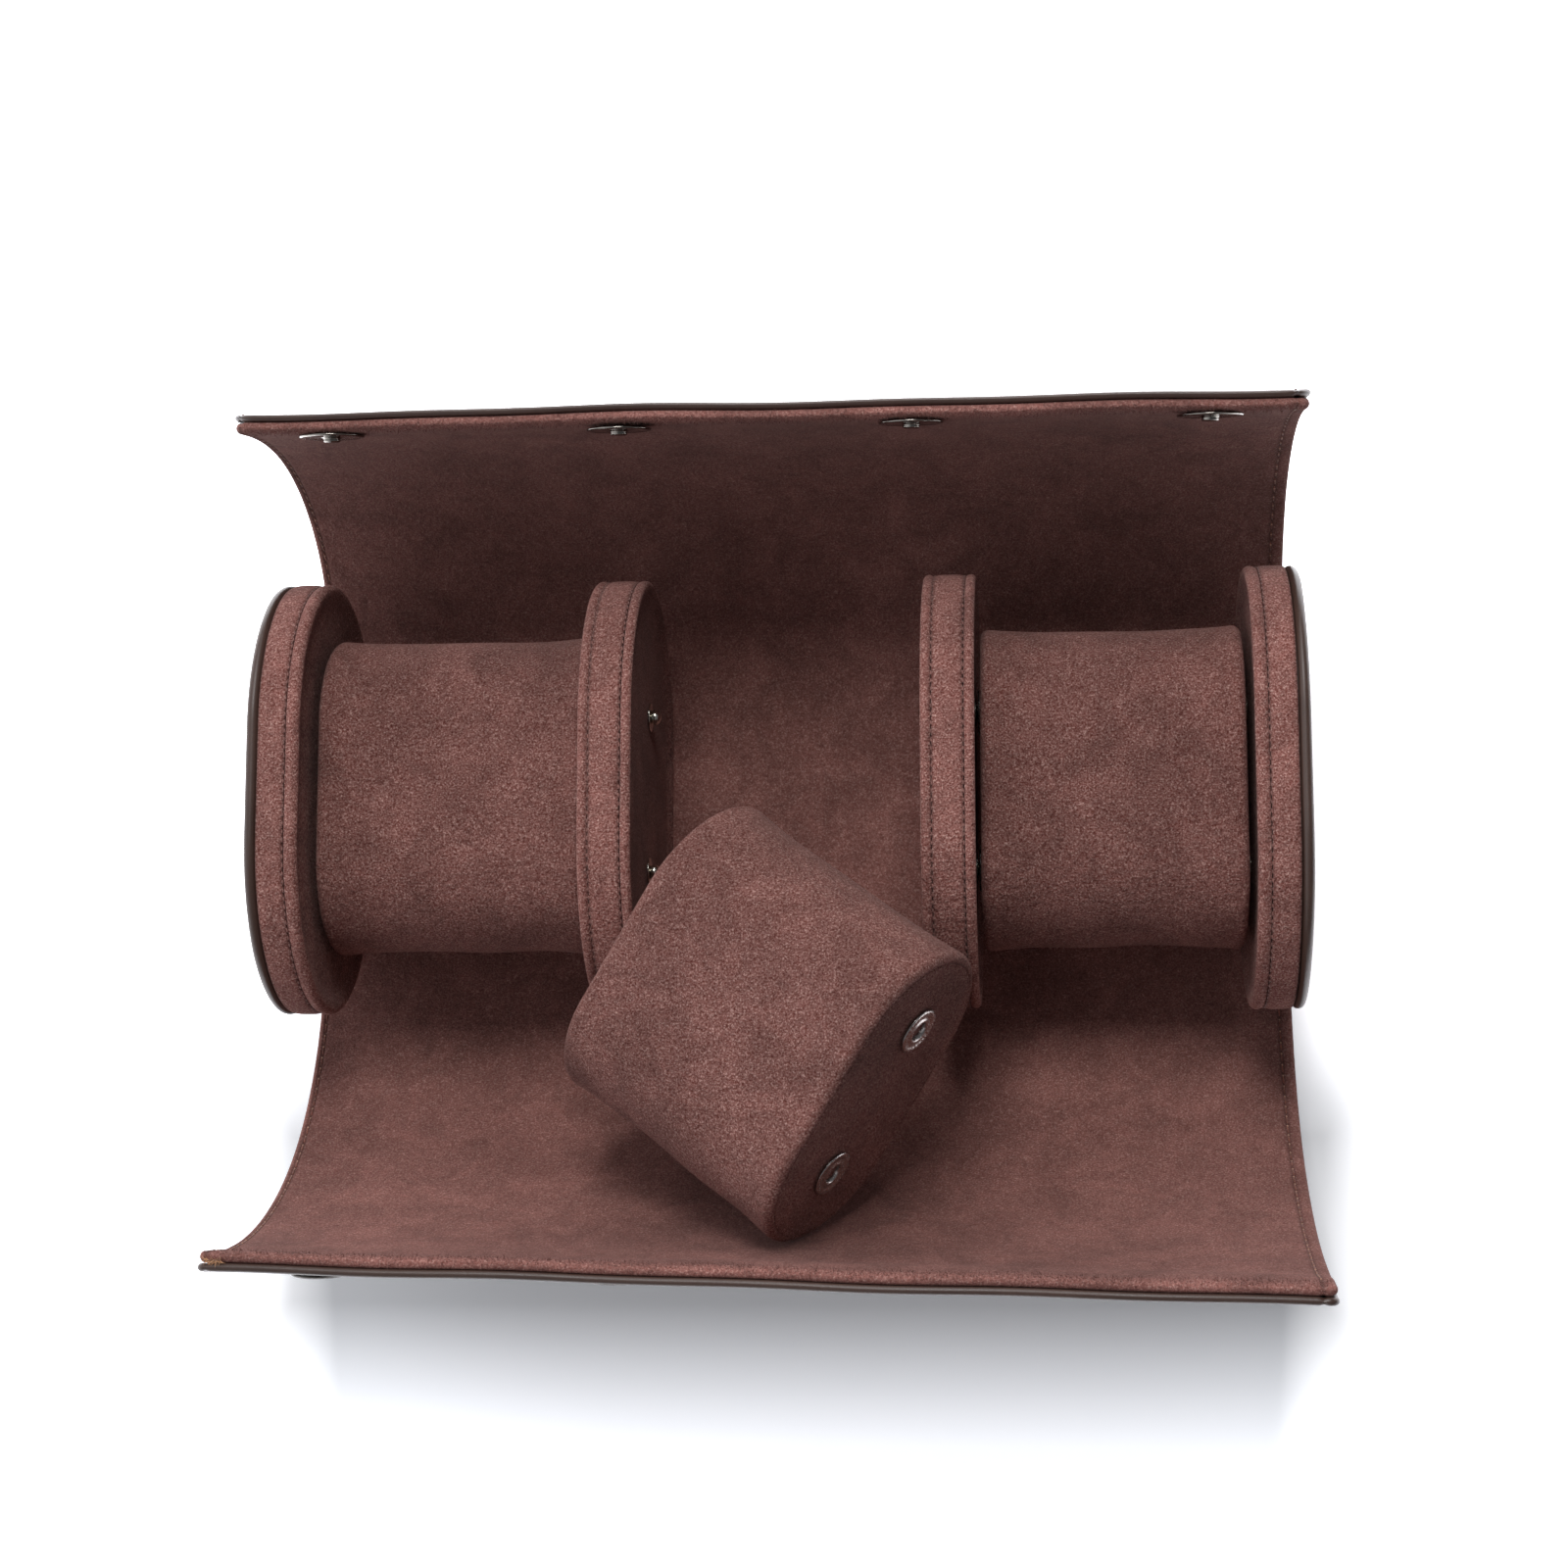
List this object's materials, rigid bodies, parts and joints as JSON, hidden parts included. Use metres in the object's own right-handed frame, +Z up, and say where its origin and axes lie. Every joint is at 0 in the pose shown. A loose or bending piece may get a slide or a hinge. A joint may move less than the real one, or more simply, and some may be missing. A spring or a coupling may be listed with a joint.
{
  "type": "watch roll",
  "caption": "Open watch roll: a curled leather wrap lined with suede, with end caps, dividers and stud-held cushions, one of them taken out and leaning in front of its bay.",
  "frame": {"origin": "centre of the flat base, on the surface that the roll rests on", "axes": "+X along the roll, +Y towards the rear flap, +Z up"},
  "size_m": [0.2366, 0.1968, 0.1019],
  "materials": {
    "leather": "smooth dark brown leather with a fine grain and a low sheen",
    "suede": "reddish brown microfibre suede with a short nap",
    "board": "plain grey-brown board, hidden under the suede",
    "nickel": "polished nickel plate",
    "gunmetal": "dark gunmetal plate"
  },
  "bodies": {
    "root": {"flap_socket_1": "gunmetal", "flap_socket_2": "gunmetal", "flap_socket_3": "gunmetal", "flap_socket_4": "gunmetal", "flap_stud_1": "nickel", "flap_stud_2": "nickel", "flap_stud_3": "nickel", "flap_stud_4": "nickel", "left_cap_band": "suede", "left_cap_core": "board", "left_cap_leather": "leather", "left_cap_panel": "suede", "left_cap_stud_front": "nickel", "left_cap_stud_rear": "nickel", "left_cushion_body": "suede", "left_cushion_left_end": "suede", "left_cushion_left_socket_front": "gunmetal", "left_cushion_left_socket_rear": "gunmetal", "left_cushion_right_end": "suede", "left_cushion_right_socket_front": "gunmetal", "left_cushion_right_socket_rear": "gunmetal", "left_divider_band": "suede", "left_divider_core": "board", "left_divider_left_panel": "suede", "left_divider_left_stud_front": "nickel", "left_divider_left_stud_rear": "nickel", "left_divider_right_panel": "suede", "left_divider_right_stud_front": "nickel", "left_divider_right_stud_rear": "nickel", "removed_cushion_body": "suede", "removed_cushion_left_end": "suede", "removed_cushion_left_socket_front": "gunmetal", "removed_cushion_left_socket_rear": "gunmetal", "removed_cushion_right_end": "suede", "removed_cushion_right_socket_front": "gunmetal", "removed_cushion_right_socket_rear": "gunmetal", "right_cap_band": "suede", "right_cap_core": "board", "right_cap_leather": "leather", "right_cap_panel": "suede", "right_cap_stud_front": "nickel", "right_cap_stud_rear": "nickel", "right_cushion_body": "suede", "right_cushion_left_end": "suede", "right_cushion_left_socket_front": "gunmetal", "right_cushion_left_socket_rear": "gunmetal", "right_cushion_right_end": "suede", "right_cushion_right_socket_front": "gunmetal", "right_cushion_right_socket_rear": "gunmetal", "right_divider_band": "suede", "right_divider_core": "board", "right_divider_left_panel": "suede", "right_divider_left_stud_front": "nickel", "right_divider_left_stud_rear": "nickel", "right_divider_right_panel": "suede", "right_divider_right_stud_front": "nickel", "right_divider_right_stud_rear": "nickel", "shell_leather": "leather", "shell_lining": "suede"}
  },
  "joints": []
}
